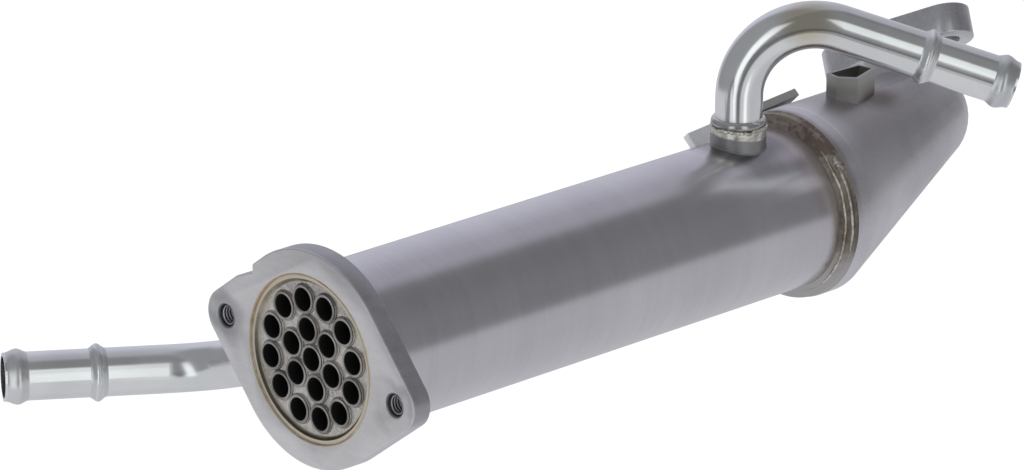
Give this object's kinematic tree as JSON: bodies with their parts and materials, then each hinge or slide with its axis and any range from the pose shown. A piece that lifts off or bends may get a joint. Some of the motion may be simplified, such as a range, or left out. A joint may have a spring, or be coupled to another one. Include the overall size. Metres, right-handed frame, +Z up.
{
  "type": "egr cooler",
  "caption": "Round steel shell-and-tube exhaust gas cooler with a two-bolt inlet flange, a slanted outlet hood and bent coolant hose pipes.",
  "frame": {"origin": "middle of the inlet face on the shell axis", "axes": "+X along the shell axis from the inlet to the outlet hood, +Z up, along the elbow riser"},
  "size_m": [0.383, 0.1974, 0.1226],
  "materials": {
    "inlet_flange": "machined",
    "shell": "brushed round the shell",
    "tube_sheet": "satin",
    "header": "heat tinted",
    "baffle": "satin",
    "hood": "matte cast",
    "outlet_flange": "satin",
    "coolant_pipe": "bright",
    "boss": "brazed, golden",
    "strap": "satin",
    "braze": "golden braze",
    "weld": "brown weld",
    "gas_tube": "satin"
  },
  "bodies": {
    "root": {"inlet_flange": "inlet_flange", "shell_tube": "shell", "front_tube_sheet": "tube_sheet", "rear_header": "header", "front_baffle": "baffle", "rear_baffle": "baffle", "outlet_hood": "hood", "outlet_flange": "outlet_flange", "coolant_elbow": "coolant_pipe", "coolant_pipe": "coolant_pipe", "elbow_boss": "boss", "pipe_boss": "boss", "strap_bracket": "strap", "sheet_braze_ring": "braze", "flange_braze_ring": "braze", "header_weld_ring": "weld", "hood_weld_ring": "weld", "gas_tube_01": "gas_tube", "gas_tube_02": "gas_tube", "gas_tube_03": "gas_tube", "gas_tube_04": "gas_tube", "gas_tube_05": "gas_tube", "gas_tube_06": "gas_tube", "gas_tube_07": "gas_tube", "gas_tube_08": "gas_tube", "gas_tube_09": "gas_tube", "gas_tube_10": "gas_tube", "gas_tube_11": "gas_tube", "gas_tube_12": "gas_tube", "gas_tube_13": "gas_tube", "gas_tube_14": "gas_tube", "gas_tube_15": "gas_tube", "gas_tube_16": "gas_tube", "gas_tube_17": "gas_tube", "gas_tube_18": "gas_tube", "gas_tube_19": "gas_tube"}
  },
  "joints": []
}
